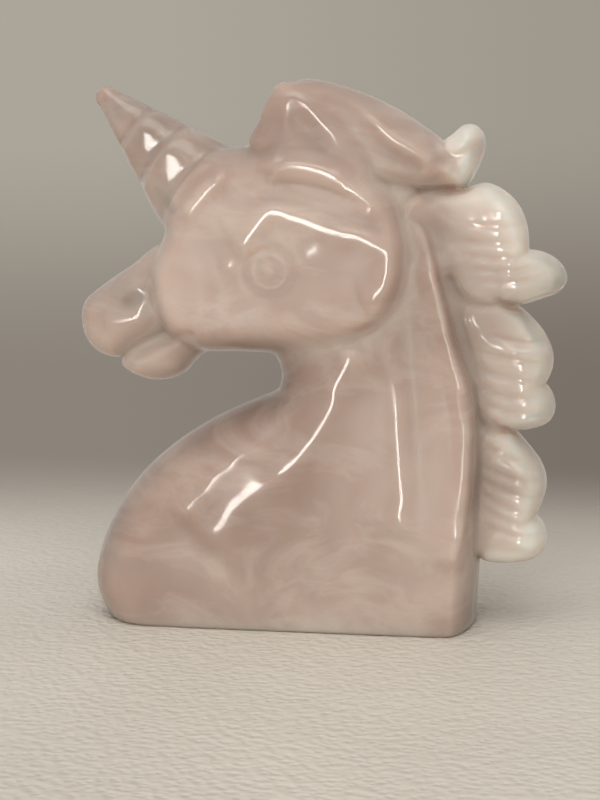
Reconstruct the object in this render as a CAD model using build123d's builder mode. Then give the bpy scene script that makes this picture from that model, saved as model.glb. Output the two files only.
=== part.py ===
"""A unicorn bust carved from one pebble-polished block of rose quartz, standing on a flat cut base.

The figure looks along -X, its left side faces -Y, and Z is up. Every carved form is drawn as its side outline,
in shares of the figure's length and height, and swells out to its own width on both sides of the middle plane.
Forms meet face to face, because each one is cut back by those that were carved before it.
"""

from build123d import *

import os
from math import cos, radians, sin

# Figure, in millimetres
figure_height = 80.0
figure_length = 72.0
base_width = 25.0
poll_width = 13.0
neck_lock_thickness = 5.0
neck_lock_relief = 0.9
ridge_width = 5.6
ridge_thickness = 4.0
ridge_relief = 0.9

# Head
jaw_width = 22.0
brow_width = 17.0
muzzle_width = 14.0
nose_bridge_width = 11.0
chin_width = 12.0
eye_ring_diameter = 7.4
eye_ring_depth = 0.9
eye_diameter = 4.6
eye_dome_height = 0.8

# Horn
horn_length = 21.8
horn_root_diameter = 17.5
horn_tip_diameter = 3.4
horn_ring_depth = 0.35
horn_ring_count = 5
horn_ring_tilt = 10.0
horn_lean = 43.5

# Ears and hair
ear_root_thickness = 6.0
ear_tip_thickness = 3.0
ear_root_gap = 5.0
ear_tip_gap = 6.0
side_lock_thickness = 4.0
side_lock_relief = 0.9
crest_width = 12.0
crest_curl_width = 8.0
mane_root_width = 15.0
mane_tip_width = 3.6

# Places, as shares of the figure's length from the nose and of its height from the base
origin_length_share = 0.44
horn_root_shares = (0.275, 0.775)
eye_shares = (0.378, 0.643)

# How far round its edge each section of a form stands, in degrees, and the share of the form that the edge takes
edge_turns = (0, 26, 50, 74)
edge_share = 0.42
mane_edge_share = 0.3
ridge_edge_share = 0.9

# Side outlines, as (length share, height share) points
bust_shares = (
    (0.56, 0.80), (0.47, 0.64), (0.435, 0.52), (0.417, 0.465), (0.400, 0.428), (0.345, 0.403), (0.270, 0.372),
    (0.190, 0.322), (0.120, 0.260), (0.068, 0.190), (0.036, 0.120), (0.028, 0.065), (0.046, 0.015),
    (0.105, -0.060), (0.300, -0.150), (0.550, -0.170), (0.740, -0.120), (0.815, -0.030), (0.828, 0.070),
    (0.830, 0.180), (0.824, 0.300), (0.808, 0.420), (0.782, 0.530), (0.748, 0.640), (0.725, 0.740),
    (0.705, 0.815), (0.63, 0.85),
)
head_shares = (
    (0.155, 0.650), (0.178, 0.710), (0.200, 0.770), (0.240, 0.825), (0.300, 0.868), (0.360, 0.878),
    (0.430, 0.895), (0.510, 0.885), (0.580, 0.845), (0.630, 0.780), (0.650, 0.700), (0.645, 0.630),
    (0.610, 0.570), (0.550, 0.525), (0.480, 0.498), (0.400, 0.487), (0.325, 0.487), (0.262, 0.490),
    (0.210, 0.510), (0.175, 0.550), (0.158, 0.600),
)
muzzle_shares = (
    (0.000, 0.560), (0.006, 0.586), (0.022, 0.602), (0.060, 0.628), (0.110, 0.658), (0.160, 0.692),
    (0.215, 0.700), (0.270, 0.670), (0.285, 0.610), (0.255, 0.560), (0.190, 0.525), (0.130, 0.497),
    (0.088, 0.474), (0.058, 0.474), (0.030, 0.486), (0.010, 0.511),
)
chin_shares = (
    (0.083, 0.463), (0.105, 0.500), (0.180, 0.545), (0.255, 0.575), (0.330, 0.555), (0.370, 0.520),
    (0.340, 0.495), (0.270, 0.487), (0.240, 0.470), (0.215, 0.445), (0.180, 0.433), (0.140, 0.434),
    (0.102, 0.446),
)
ear_shares = (
    (0.366, 0.878), (0.384, 0.920), (0.402, 0.962), (0.424, 0.988), (0.448, 0.984), (0.470, 0.955),
    (0.503, 0.920), (0.545, 0.880), (0.585, 0.830), (0.602, 0.780), (0.560, 0.786), (0.500, 0.812),
    (0.430, 0.834),
)
side_lock_shares = (
    (0.356, 0.818), (0.380, 0.856), (0.425, 0.872), (0.500, 0.862), (0.560, 0.832), (0.608, 0.785),
    (0.618, 0.742), (0.560, 0.762), (0.490, 0.787), (0.420, 0.797), (0.380, 0.794),
)
crest_shares = (
    (0.400, 0.930), (0.440, 0.986), (0.480, 0.996), (0.540, 0.985), (0.600, 0.966), (0.660, 0.940),
    (0.710, 0.911), (0.752, 0.882), (0.790, 0.850), (0.790, 0.812), (0.740, 0.798), (0.680, 0.795),
    (0.600, 0.800), (0.500, 0.830), (0.420, 0.870),
)
crest_curl_shares = (
    (0.744, 0.882), (0.766, 0.897), (0.788, 0.913), (0.812, 0.913), (0.830, 0.894), (0.830, 0.865),
    (0.815, 0.830), (0.794, 0.803), (0.765, 0.802), (0.735, 0.820), (0.724, 0.855),
)
upper_lock_shares = (
    (0.670, 0.780), (0.725, 0.803), (0.785, 0.799), (0.835, 0.810), (0.878, 0.792), (0.906, 0.762),
    (0.920, 0.722), (0.920, 0.680), (0.908, 0.635), (0.880, 0.602), (0.820, 0.585), (0.755, 0.580),
    (0.700, 0.630), (0.665, 0.710),
)
upper_tip_shares = (
    (0.880, 0.688), (0.930, 0.690), (0.965, 0.681), (0.990, 0.662), (0.999, 0.638), (0.985, 0.616),
    (0.950, 0.602), (0.900, 0.590), (0.860, 0.598), (0.848, 0.645),
)
middle_lock_shares = (
    (0.760, 0.640), (0.830, 0.635), (0.885, 0.600), (0.926, 0.571), (0.956, 0.540), (0.974, 0.500),
    (0.968, 0.462), (0.940, 0.425), (0.895, 0.385), (0.840, 0.366), (0.785, 0.375), (0.750, 0.440),
    (0.740, 0.530),
)
middle_tip_shares = (
    (0.905, 0.458), (0.950, 0.451), (0.972, 0.433), (0.980, 0.405), (0.971, 0.381), (0.945, 0.367),
    (0.900, 0.361), (0.858, 0.366), (0.845, 0.400), (0.865, 0.440),
)
lower_lock_shares = (
    (0.785, 0.430), (0.835, 0.420), (0.885, 0.375), (0.926, 0.335), (0.955, 0.300), (0.965, 0.265),
    (0.955, 0.225), (0.930, 0.185), (0.890, 0.150), (0.840, 0.125), (0.795, 0.135), (0.775, 0.210),
    (0.770, 0.310),
)
lower_tip_shares = (
    (0.895, 0.208), (0.940, 0.203), (0.960, 0.186), (0.967, 0.157), (0.955, 0.131), (0.925, 0.118),
    (0.880, 0.113), (0.838, 0.118), (0.822, 0.145), (0.850, 0.188),
)
neck_lock_shares = (
    (0.640, 0.735), (0.690, 0.735), (0.722, 0.620), (0.752, 0.510), (0.783, 0.425), (0.788, 0.340),
    (0.778, 0.220), (0.754, 0.112), (0.700, 0.090), (0.655, 0.120), (0.646, 0.200), (0.650, 0.300),
    (0.632, 0.420), (0.605, 0.560),
)
crest_ridge_shares = (
    (0.548, 0.955), (0.585, 0.945), (0.615, 0.918), (0.650, 0.895), (0.700, 0.875), (0.740, 0.850),
    (0.715, 0.835), (0.665, 0.845), (0.620, 0.862), (0.585, 0.890), (0.560, 0.920),
)

# Chest ridge from its top down, as (length share, height share, share of its width, share of its thickness) stations
chest_ridge_shares = (
    (0.562, 0.525, 0.4, 0.4), (0.530, 0.462, 0.8, 0.8), (0.503, 0.398, 1.0, 1.0), (0.458, 0.332, 1.4, 1.0),
    (0.395, 0.280, 1.8, 1.0), (0.320, 0.236, 1.8, 1.0), (0.268, 0.184, 1.2, 0.8), (0.234, 0.130, 0.5, 0.4),
)


def place(shares):
    """A point of the side view, in millimetres, from its shares."""
    return (shares[0] - origin_length_share) * figure_length, shares[1] * figure_height


def drawn_in(outline_shares, keep):
    """An outline's points, in millimetres, pulled towards their middle to keep times their size."""
    points = [place(shares) for shares in outline_shares]
    middle_x = sum(x for x, _ in points) / len(points)
    middle_z = sum(z for _, z in points) / len(points)
    return [(middle_x + (x - middle_x) * keep, middle_z + (z - middle_z) * keep) for x, z in points]


def leaning_plane(low_y, high_y, rise):
    """A plane along X through low_y at the lower height of rise and through high_y at its upper height."""
    up = Vector(0, high_y - low_y, rise[1] - rise[0])
    foot = low_y - up.Y * rise[0] / up.Z
    return Plane(origin=(0, foot, 0), x_dir=(1, 0, 0), z_dir=Vector(1, 0, 0).cross(up))


def tapering_plane(near_y, far_y, reach):
    """A plane along Z through near_y at the first length of reach and through far_y at its second."""
    back = Vector(reach[1] - reach[0], far_y - near_y, 0)
    foot = near_y - back.Y * reach[0] / back.X
    return Plane(origin=(0, foot, 0), x_dir=back, z_dir=back.cross(Vector(0, 0, 1)))


def side_point(plane, x, z):
    """The point of a side plane at one place of the side view."""
    normal = plane.z_dir
    from_origin = (x - plane.origin.X) * normal.X + (z - plane.origin.Z) * normal.Z
    return Vector(x, plane.origin.Y - from_origin / normal.Y, z)


def heights_of(outline_shares):
    """The lowest and the highest Z of an outline."""
    heights = [place(shares)[1] for shares in outline_shares]
    return min(heights), max(heights)


def sections(outline_shares, first, second, span=None, draw=edge_share, side_plane=leaning_plane):
    """The sections of a form across its width: its full outline in the middle, drawn in towards both sides.

    first and second are the Y ranges of the form at the two ends of span, which is its own rise unless it is given.
    """
    span = span or heights_of(outline_shares)
    faces = []
    for turn in [-turn for turn in reversed(edge_turns[1:])] + list(edge_turns):
        across = (1 + sin(radians(turn)) / sin(radians(edge_turns[-1]))) / 2
        first_y = first[0] + (first[1] - first[0]) * across
        second_y = second[0] + (second[1] - second[0]) * across
        plane = side_plane(first_y, second_y, span)
        points = drawn_in(outline_shares, 1 - draw * (1 - cos(radians(turn))))
        with BuildSketch(plane) as section:
            with BuildLine():
                Spline(*[plane.to_local_coords(side_point(plane, x, z)) for x, z in points], periodic=True)
            make_face()
        faces.append(section.sketch.face())
    return faces


def about_middle(width):
    """The Y range of a form that stands on the middle plane."""
    return -width / 2, width / 2


def on_left(outer_y, thickness):
    """The Y range of a form on the left side, from the distance of its outer face from the middle plane."""
    return -outer_y, thickness - outer_y


def both_sides(form):
    """A form on the left side and its mirror image on the right."""
    return form, form.mirror(Plane.XZ)


def cut_back(*forms):
    """Cuts the form that is being made back to the faces of the whole forms that were carved before it."""
    add(forms, mode=Mode.SUBTRACT)


# The heights between which the head's and the bust's sides lean from their lower to their upper width, and the
# lengths between which the mane thins from its root to its tip
head_rise = heights_of(head_shares)
bust_rise = (0, heights_of(bust_shares)[1])
mane_reach = (
    min(place(shares)[0] for shares in upper_lock_shares),
    max(place(shares)[0] for shares in upper_tip_shares),
)

# The horn: a cone whose rings swell and narrow, on planes that tilt a little from square, with a round tip
horn_root = Vector(place(horn_root_shares)[0], 0, place(horn_root_shares)[1])
horn_axis = Vector(-cos(radians(horn_lean)), 0, sin(radians(horn_lean)))
ring_normal = horn_axis.rotate(Axis.Y, horn_ring_tilt)
with BuildPart() as horn:
    for step in range(2 * horn_ring_count + 1):
        along = step / (2 * horn_ring_count)
        diameter = horn_root_diameter + (horn_tip_diameter - horn_root_diameter) * along
        swell = -horn_ring_depth * cos(radians(180 * step)) * (1 - along)
        middle = horn_root + horn_axis * horn_length * along
        with BuildSketch(Plane(origin=middle, x_dir=(0, 1, 0), z_dir=ring_normal)):
            Circle(diameter / 2 + swell)
    loft()
    with Locations(horn_root + horn_axis * horn_length):
        Sphere(horn_tip_diameter / 2)

# Ears: a leaf on each side of the crest
with BuildPart() as left_ear:
    ear_root_y = on_left(ear_root_gap / 2 + ear_root_thickness, ear_root_thickness)
    ear_tip_y = on_left(ear_tip_gap / 2 + ear_tip_thickness, ear_tip_thickness)
    ear_forms = both_sides(loft(sections=sections(ear_shares, ear_root_y, ear_tip_y)))
    cut_back(horn.part)
with BuildPart() as right_ear:
    mirror(left_ear.part, about=Plane.XZ)

# Side locks: the hair that runs back from the forehead below each ear, proud of the head's side
with BuildPart() as left_side_lock:
    low_y = on_left(jaw_width / 2 + side_lock_relief, side_lock_thickness)
    high_y = on_left(brow_width / 2 + side_lock_relief, side_lock_thickness)
    side_lock_forms = both_sides(loft(sections=sections(side_lock_shares, low_y, high_y, head_rise)))
    cut_back(horn.part, ear_forms[0])
with BuildPart() as right_side_lock:
    mirror(left_side_lock.part, about=Plane.XZ)

# Head: brow and cheeks, with a round pocket in each flat side for the ring about the eye
eye_side = leaning_plane(-jaw_width / 2, -brow_width / 2, head_rise)
eye_plane = eye_side.shift_origin(side_point(eye_side, *place(eye_shares)))
with BuildPart() as head:
    head_form = loft(sections=sections(head_shares, about_middle(jaw_width), about_middle(brow_width)))
    with BuildSketch(eye_plane):
        Circle(eye_ring_diameter / 2)
    pocket = extrude(amount=-eye_ring_depth, mode=Mode.SUBTRACT)
    mirror(pocket, about=Plane.XZ, mode=Mode.SUBTRACT)
    cut_back(horn.part, *ear_forms, *side_lock_forms)
with BuildPart() as left_eye:
    with BuildSketch(eye_plane.offset(-eye_ring_depth)):
        Circle(eye_diameter / 2)
    extrude(amount=eye_ring_depth)
    fillet(left_eye.edges().sort_by(Axis.Y)[0], eye_dome_height)
with BuildPart() as right_eye:
    mirror(left_eye.part, about=Plane.XZ)

# Muzzle and lower jaw
with BuildPart() as muzzle:
    muzzle_form = loft(sections=sections(muzzle_shares, about_middle(muzzle_width), about_middle(nose_bridge_width)))
    cut_back(horn.part, head_form)
with BuildPart() as lower_jaw:
    loft(sections=sections(chin_shares, about_middle(chin_width), about_middle(chin_width)))
    cut_back(head_form, muzzle_form)

# Neck locks: the broad hair that falls down each side of the neck, proud of the bust's side
with BuildPart() as left_neck_lock:
    low_y = on_left(base_width / 2 + neck_lock_relief, neck_lock_thickness)
    high_y = on_left(poll_width / 2 + neck_lock_relief, neck_lock_thickness)
    neck_lock_sections = sections(neck_lock_shares, low_y, high_y, bust_rise, mane_edge_share)
    neck_lock_forms = both_sides(loft(sections=neck_lock_sections))
    cut_back(head_form)
with BuildPart() as right_neck_lock:
    mirror(left_neck_lock.part, about=Plane.XZ)

# Chest ridges: the crest that runs from the throat down to the chest on each side, proud of the bust's side
bust_side = leaning_plane(-base_width / 2, -poll_width / 2, bust_rise)
with BuildPart() as left_chest_ridge:
    for length_share, height_share, width_share, thickness_share in chest_ridge_shares:
        middle = side_point(bust_side, *place((length_share, height_share)))
        with BuildSketch(Plane.XY.offset(middle.Z)):
            with Locations((middle.X, middle.Y + ridge_thickness / 2 - ridge_relief)):
                Ellipse(ridge_width / 2 * width_share, ridge_thickness / 2 * thickness_share)
    chest_ridge_forms = both_sides(loft())
    cut_back(head_form)
with BuildPart() as right_chest_ridge:
    mirror(left_chest_ridge.part, about=Plane.XZ)

# Bust: chest and neck, sawn flat where it stands
with BuildPart() as bust:
    bust_sections = sections(bust_shares, about_middle(base_width), about_middle(poll_width), bust_rise)
    bust_form = loft(sections=bust_sections)
    cut_back(*ear_forms, *side_lock_forms, head_form, *neck_lock_forms, *chest_ridge_forms)
    split(bisect_by=Plane.XY, keep=Keep.TOP)

# Crest: the lock that sweeps back from between the ears, with a curl at its end
with BuildPart() as crest_lock:
    crest_form = loft(sections=sections(crest_shares, about_middle(crest_width), about_middle(crest_width)))
    ridge_y = on_left(crest_width / 2 + ridge_relief, ridge_thickness)
    ridge_sections = sections(crest_ridge_shares, ridge_y, ridge_y, draw=ridge_edge_share)
    add(both_sides(loft(sections=ridge_sections, mode=Mode.PRIVATE)))
    cut_back(horn.part, *ear_forms, *side_lock_forms, head_form, bust_form)
with BuildPart() as crest_curl:
    curl_width = about_middle(crest_curl_width)
    curl_form = loft(sections=sections(crest_curl_shares, curl_width, curl_width))
    cut_back(crest_form, bust_form)

# Mane: three locks one below another behind the neck, each with its own curled tip, all thin at their free edge
neck_forms = (bust_form, *neck_lock_forms)


def mane_sections(outline_shares):
    """The sections of a form of the mane."""
    root_y = about_middle(mane_root_width)
    tip_y = about_middle(mane_tip_width)
    return sections(outline_shares, root_y, tip_y, mane_reach, mane_edge_share, tapering_plane)


with BuildPart() as upper_mane_lock:
    upper_form = loft(sections=mane_sections(upper_lock_shares))
    cut_back(head_form, crest_form, curl_form, *neck_forms)
with BuildPart() as upper_mane_tip:
    upper_tip_form = loft(sections=mane_sections(upper_tip_shares))
    cut_back(upper_form)
with BuildPart() as middle_mane_lock:
    middle_form = loft(sections=mane_sections(middle_lock_shares))
    cut_back(upper_form, upper_tip_form, *neck_forms)
with BuildPart() as middle_mane_tip:
    middle_tip_form = loft(sections=mane_sections(middle_tip_shares))
    cut_back(middle_form)
with BuildPart() as lower_mane_lock:
    lower_form = loft(sections=mane_sections(lower_lock_shares))
    cut_back(middle_form, middle_tip_form, *neck_forms)
with BuildPart() as lower_mane_tip:
    loft(sections=mane_sections(lower_tip_shares))
    cut_back(lower_form)

os.makedirs("parts", exist_ok=True)
bust.part.label = "bust"
export_step(bust.part, "parts/bust.step")
head.part.label = "head"
export_step(head.part, "parts/head.step")
muzzle.part.label = "muzzle"
export_step(muzzle.part, "parts/muzzle.step")
lower_jaw.part.label = "lower_jaw"
export_step(lower_jaw.part, "parts/lower_jaw.step")
horn.part.label = "horn"
export_step(horn.part, "parts/horn.step")
left_ear.part.label = "left_ear"
export_step(left_ear.part, "parts/left_ear.step")
right_ear.part.label = "right_ear"
export_step(right_ear.part, "parts/right_ear.step")
left_eye.part.label = "left_eye"
export_step(left_eye.part, "parts/left_eye.step")
right_eye.part.label = "right_eye"
export_step(right_eye.part, "parts/right_eye.step")
left_side_lock.part.label = "left_side_lock"
export_step(left_side_lock.part, "parts/left_side_lock.step")
right_side_lock.part.label = "right_side_lock"
export_step(right_side_lock.part, "parts/right_side_lock.step")
left_neck_lock.part.label = "left_neck_lock"
export_step(left_neck_lock.part, "parts/left_neck_lock.step")
right_neck_lock.part.label = "right_neck_lock"
export_step(right_neck_lock.part, "parts/right_neck_lock.step")
left_chest_ridge.part.label = "left_chest_ridge"
export_step(left_chest_ridge.part, "parts/left_chest_ridge.step")
right_chest_ridge.part.label = "right_chest_ridge"
export_step(right_chest_ridge.part, "parts/right_chest_ridge.step")
crest_lock.part.label = "crest_lock"
export_step(crest_lock.part, "parts/crest_lock.step")
crest_curl.part.label = "crest_curl"
export_step(crest_curl.part, "parts/crest_curl.step")
upper_mane_lock.part.label = "upper_mane_lock"
export_step(upper_mane_lock.part, "parts/upper_mane_lock.step")
upper_mane_tip.part.label = "upper_mane_tip"
export_step(upper_mane_tip.part, "parts/upper_mane_tip.step")
middle_mane_lock.part.label = "middle_mane_lock"
export_step(middle_mane_lock.part, "parts/middle_mane_lock.step")
middle_mane_tip.part.label = "middle_mane_tip"
export_step(middle_mane_tip.part, "parts/middle_mane_tip.step")
lower_mane_lock.part.label = "lower_mane_lock"
export_step(lower_mane_lock.part, "parts/lower_mane_lock.step")
lower_mane_tip.part.label = "lower_mane_tip"
export_step(lower_mane_tip.part, "parts/lower_mane_tip.step")
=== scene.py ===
"""The unicorn figurine: one polished block of rose quartz, as a single clear skin over its carved forms.

The carving is drawn in the side view, as half the stone's width at each place. Its main forms repeat the
outlines of the solids, and its crests, grooves, rings and strands are laid over them. The skin is the surface
where the distance from the middle plane equals that half width.
"""

import math
from types import SimpleNamespace

import bpy
import numpy as np
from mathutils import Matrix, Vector


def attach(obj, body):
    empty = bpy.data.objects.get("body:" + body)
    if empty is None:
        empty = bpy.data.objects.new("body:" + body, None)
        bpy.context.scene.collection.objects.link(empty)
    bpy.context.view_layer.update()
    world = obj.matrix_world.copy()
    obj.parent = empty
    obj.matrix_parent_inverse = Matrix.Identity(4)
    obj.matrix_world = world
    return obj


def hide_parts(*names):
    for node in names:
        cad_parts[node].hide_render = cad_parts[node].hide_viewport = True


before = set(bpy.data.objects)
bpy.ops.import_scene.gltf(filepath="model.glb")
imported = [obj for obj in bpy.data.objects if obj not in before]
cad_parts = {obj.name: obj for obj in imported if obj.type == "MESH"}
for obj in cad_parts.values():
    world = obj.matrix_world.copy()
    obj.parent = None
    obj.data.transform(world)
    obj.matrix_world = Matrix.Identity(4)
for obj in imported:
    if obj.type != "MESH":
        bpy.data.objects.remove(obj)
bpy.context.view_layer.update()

# Figure, in millimetres, and the share of its length that lies in front of the origin
HEIGHT = 80.0
LENGTH = 72.0
HALF_WIDTH = 12.5
ORIGIN_SHARE = 0.44
MM = 0.001

# Camera at the photograph's angle, in millimetres
AIM = np.array([1.15, 0.0, 32.5])
DISTANCE = 300.0
AZIMUTH, ELEVATION = math.radians(9), math.radians(8)
VIEW_HEIGHT = 119.0
TOWARDS_CAMERA = np.array([
    math.sin(AZIMUTH) * math.cos(ELEVATION), -math.cos(AZIMUTH) * math.cos(ELEVATION), math.sin(ELEVATION),
])
CAMERA = AIM + TOWARDS_CAMERA * DISTANCE
# What places read off in the photograph still lie off from the middle plane
FACE_SHIFT = np.array([1.0, -0.4])

# Map of the side view and grid of the skin, in millimetres
MAP_STEP = 0.2
SKIN_STEP = 0.37
SKIN_LOW = np.array([-33.5, -16.0, -1.5])
SKIN_HIGH = np.array([42.5, 16.0, 82.0])
OFF_PLANE = 0.013  # keeps the grid's points off the middle plane and the base
SLOPE_STEP = 0.06
LOW_X, HIGH_X, LOW_Z, HIGH_Z = -36.0, 44.0, -4.0, 84.0

xs = np.arange(LOW_X, HIGH_X + MAP_STEP / 2, MAP_STEP)
zs = np.arange(LOW_Z, HIGH_Z + MAP_STEP / 2, MAP_STEP)
X, Z = np.meshgrid(xs, zs, indexing="ij")


def place(shares):
    """Points of the side view in millimetres, from their shares of length and height."""
    shares = np.array(shares, dtype=float)
    return np.column_stack([(shares[:, 0] - ORIGIN_SHARE) * LENGTH, shares[:, 1] * HEIGHT])


def smooth_line(points, closed, pieces=8):
    """A Catmull-Rom line through the points."""
    if closed:
        ring = np.vstack([points[-1], points, points[:2]])
    else:
        ring = np.vstack([2 * points[0] - points[1], points, 2 * points[-1] - points[-2]])
    t = np.linspace(0, 1, pieces, endpoint=False)[:, None]
    out = []
    for a, b, c, d in zip(ring, ring[1:], ring[2:], ring[3:]):
        square, cube = 2 * a - 5 * b + 4 * c - d, 3 * b - a - 3 * c + d
        out.append(0.5 * (2 * b + (c - a) * t + square * t**2 + cube * t**3))
    line = np.vstack(out)
    return line if closed else np.vstack([line, points[-1]])


def window(line, margin):
    """The slices of the map that hold a line and a margin round it."""
    low, high = line.min(axis=0) - margin, line.max(axis=0) + margin
    i0, i1 = np.searchsorted(xs, (low[0], high[0]))
    k0, k1 = np.searchsorted(zs, (low[1], high[1]))
    return slice(max(i0 - 1, 0), i1 + 1), slice(max(k0 - 1, 0), k1 + 1)


def nearest(line, closed, margin):
    """Distance to a line, place along it from 0 to 1, and what lies inside a closed one, over its window."""
    where = window(line, margin)
    px, pz = X[where], Z[where]
    ends = np.roll(line, -1, axis=0) if closed else line[1:]
    starts = line if closed else line[:-1]
    lengths = np.hypot(*(ends - starts).T)
    run = np.concatenate([[0], np.cumsum(lengths)])
    best = np.full(px.shape, 1e9)
    along = np.zeros(px.shape)
    inside = np.zeros(px.shape, dtype=bool)
    for (ax, az), (bx, bz), length, before in zip(starts, ends, lengths, run):
        dx, dz = bx - ax, bz - az
        if length < 1e-9:
            continue
        t = np.clip(((px - ax) * dx + (pz - az) * dz) / length**2, 0, 1)
        ox, oz = px - ax - t * dx, pz - az - t * dz
        d2 = ox * ox + oz * oz
        nearer = d2 < best
        best = np.where(nearer, d2, best)
        along = np.where(nearer, before + t * length, along)
        if closed and dz != 0:
            crosses = ((az > pz) != (bz > pz)) & (px < ax + (pz - az) * dx / dz)
            inside ^= crosses
    return where, np.sqrt(best), along / run[-1], inside


def depth_in(outline_shares, halves=None, margin=6.0):
    """How deep each place of the map lies inside an outline, in millimetres, and below zero outside it."""
    points = place(outline_shares)
    if halves is not None:
        points = on_face(points, halves)
    where, distance, _, inside = nearest(smooth_line(points, True), True, margin)
    depth = np.full(X.shape, -margin)
    depth[where] = np.where(inside, distance, -np.minimum(distance, margin))
    return depth


def swell(depth, half_width, edge, dome=0.0):
    """Square of a form's half width: round at the outline, and full from edge inwards but for its dome."""
    t = np.minimum(depth / edge, 1)
    crowned = half_width - dome * np.exp(-np.maximum(depth, 0) / (1.5 * edge))
    return crowned**2 * np.where(t > 0, 2 * t - t * t, 2 * t)


def join(a, b, blend):
    """Union of two squared half widths, with the crease between them rounded over blend millimetres."""
    k = 2 * np.sqrt(np.maximum(np.maximum(a, b), 1)) * blend
    h = np.maximum(k - np.abs(a - b), 0) / k
    return np.maximum(a, b) + h * h * k / 4


def ramp(value, low, high):
    """Smooth step from 0 at low to 1 at high."""
    t = np.clip((value - low) / (high - low), 0, 1)
    return t * t * (3 - 2 * t)


def across_height(low_z, low, high_z, high):
    """A value that goes evenly from low at one height to high at another."""
    return low + (high - low) * np.clip((Z - low_z) / (high_z - low_z), -0.2, 1.2)


def blurred(values, radius):
    """Values of the map, evened out over about radius millimetres."""
    n = max(1, int(round(radius / MAP_STEP)))
    out = values
    for _ in range(3):
        for axis in (0, 1):
            size = out.shape[axis]
            index = np.clip(np.arange(-n - 1, size + n), 0, size - 1)
            total = np.cumsum(out.take(index, axis), axis=axis)
            upper = total.take(np.arange(2 * n + 1, 2 * n + 1 + size), axis)
            out = (upper - total.take(np.arange(size), axis)) / (2 * n + 1)
    return out


def sample(values, x, z):
    """Values of a map at points of the side view, by bilinear interpolation."""
    fx = np.clip((x - LOW_X) / MAP_STEP, 0, values.shape[0] - 1.001)
    fz = np.clip((z - LOW_Z) / MAP_STEP, 0, values.shape[1] - 1.001)
    i, k = fx.astype(int), fz.astype(int)
    tx, tz = fx - i, fz - k
    low = values[i, k] * (1 - tx) + values[i + 1, k] * tx
    high = values[i, k + 1] * (1 - tx) + values[i + 1, k + 1] * tx
    return low * (1 - tz) + high * tz


def on_face(points, halves):
    """Places read off on the middle plane, moved to the carved face that the camera sees in front of them."""
    keep = 1 + sample(halves, points[:, 0], points[:, 1]) / CAMERA[1]
    return CAMERA[[0, 2]] + (points + FACE_SHIFT - CAMERA[[0, 2]]) * keep[:, None]


# Outlines of the main forms, as shares of length and height
bust_shares = (
    (0.56, 0.80), (0.44, 0.66), (0.365, 0.56), (0.366, 0.506), (0.403, 0.493), (0.419, 0.466),
    (0.419, 0.443), (0.405, 0.424), (0.345, 0.400), (0.270, 0.367), (0.190, 0.319), (0.120, 0.260),
    (0.068, 0.190), (0.036, 0.120), (0.028, 0.065), (0.046, 0.015), (0.105, -0.060), (0.300, -0.150),
    (0.550, -0.170), (0.740, -0.120), (0.815, -0.030), (0.828, 0.070), (0.830, 0.180), (0.824, 0.300),
    (0.808, 0.420), (0.782, 0.530), (0.748, 0.640), (0.725, 0.740), (0.705, 0.815), (0.63, 0.85),
)
head_shares = (
    (0.155, 0.650), (0.178, 0.710), (0.200, 0.770), (0.240, 0.825), (0.300, 0.868), (0.360, 0.878),
    (0.430, 0.895), (0.510, 0.885), (0.595, 0.850), (0.660, 0.785), (0.690, 0.700), (0.684, 0.625),
    (0.645, 0.562), (0.565, 0.522), (0.480, 0.505), (0.400, 0.498), (0.325, 0.498), (0.262, 0.499),
    (0.210, 0.515), (0.175, 0.550), (0.158, 0.600),
)
muzzle_shares = (
    (0.000, 0.560), (0.006, 0.586), (0.022, 0.602), (0.060, 0.628), (0.110, 0.658), (0.160, 0.692),
    (0.215, 0.700), (0.270, 0.670), (0.285, 0.610), (0.255, 0.560), (0.190, 0.535), (0.130, 0.507),
    (0.088, 0.484), (0.058, 0.484), (0.028, 0.498), (0.007, 0.525),
)
chin_shares = (
    (0.083, 0.473), (0.105, 0.510), (0.180, 0.545), (0.255, 0.575), (0.330, 0.555), (0.370, 0.525),
    (0.340, 0.505), (0.270, 0.497), (0.240, 0.480), (0.215, 0.455), (0.180, 0.442), (0.140, 0.442),
    (0.102, 0.455),
)
ear_shares = (
    (0.366, 0.878), (0.384, 0.920), (0.402, 0.962), (0.424, 0.988), (0.458, 0.986), (0.495, 0.965),
    (0.532, 0.935), (0.575, 0.892), (0.605, 0.840), (0.602, 0.790), (0.560, 0.786), (0.500, 0.812),
    (0.430, 0.834),
)
side_lock_shares = (
    (0.356, 0.818), (0.380, 0.856), (0.425, 0.872), (0.500, 0.862), (0.560, 0.832), (0.608, 0.785),
    (0.618, 0.742), (0.560, 0.762), (0.490, 0.787), (0.420, 0.797), (0.380, 0.794),
)
crest_shares = (
    (0.400, 0.930), (0.440, 0.986), (0.480, 0.996), (0.540, 0.985), (0.600, 0.966), (0.660, 0.940),
    (0.710, 0.911), (0.752, 0.882), (0.790, 0.850), (0.790, 0.812), (0.740, 0.798), (0.680, 0.795),
    (0.600, 0.800), (0.500, 0.830), (0.420, 0.870),
)
crest_curl_shares = (
    (0.744, 0.882), (0.766, 0.897), (0.788, 0.913), (0.812, 0.913), (0.830, 0.894), (0.830, 0.865),
    (0.815, 0.830), (0.794, 0.803), (0.765, 0.802), (0.735, 0.820), (0.724, 0.855),
)
upper_lock_shares = (
    (0.670, 0.780), (0.725, 0.803), (0.785, 0.799), (0.835, 0.810), (0.878, 0.792), (0.906, 0.762),
    (0.920, 0.722), (0.920, 0.680), (0.908, 0.635), (0.880, 0.602), (0.820, 0.585), (0.755, 0.580),
    (0.700, 0.630), (0.665, 0.710),
)
upper_tip_shares = (
    (0.880, 0.688), (0.930, 0.690), (0.965, 0.681), (0.990, 0.662), (0.999, 0.638), (0.985, 0.616),
    (0.950, 0.602), (0.900, 0.590), (0.860, 0.598), (0.848, 0.645),
)
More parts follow.
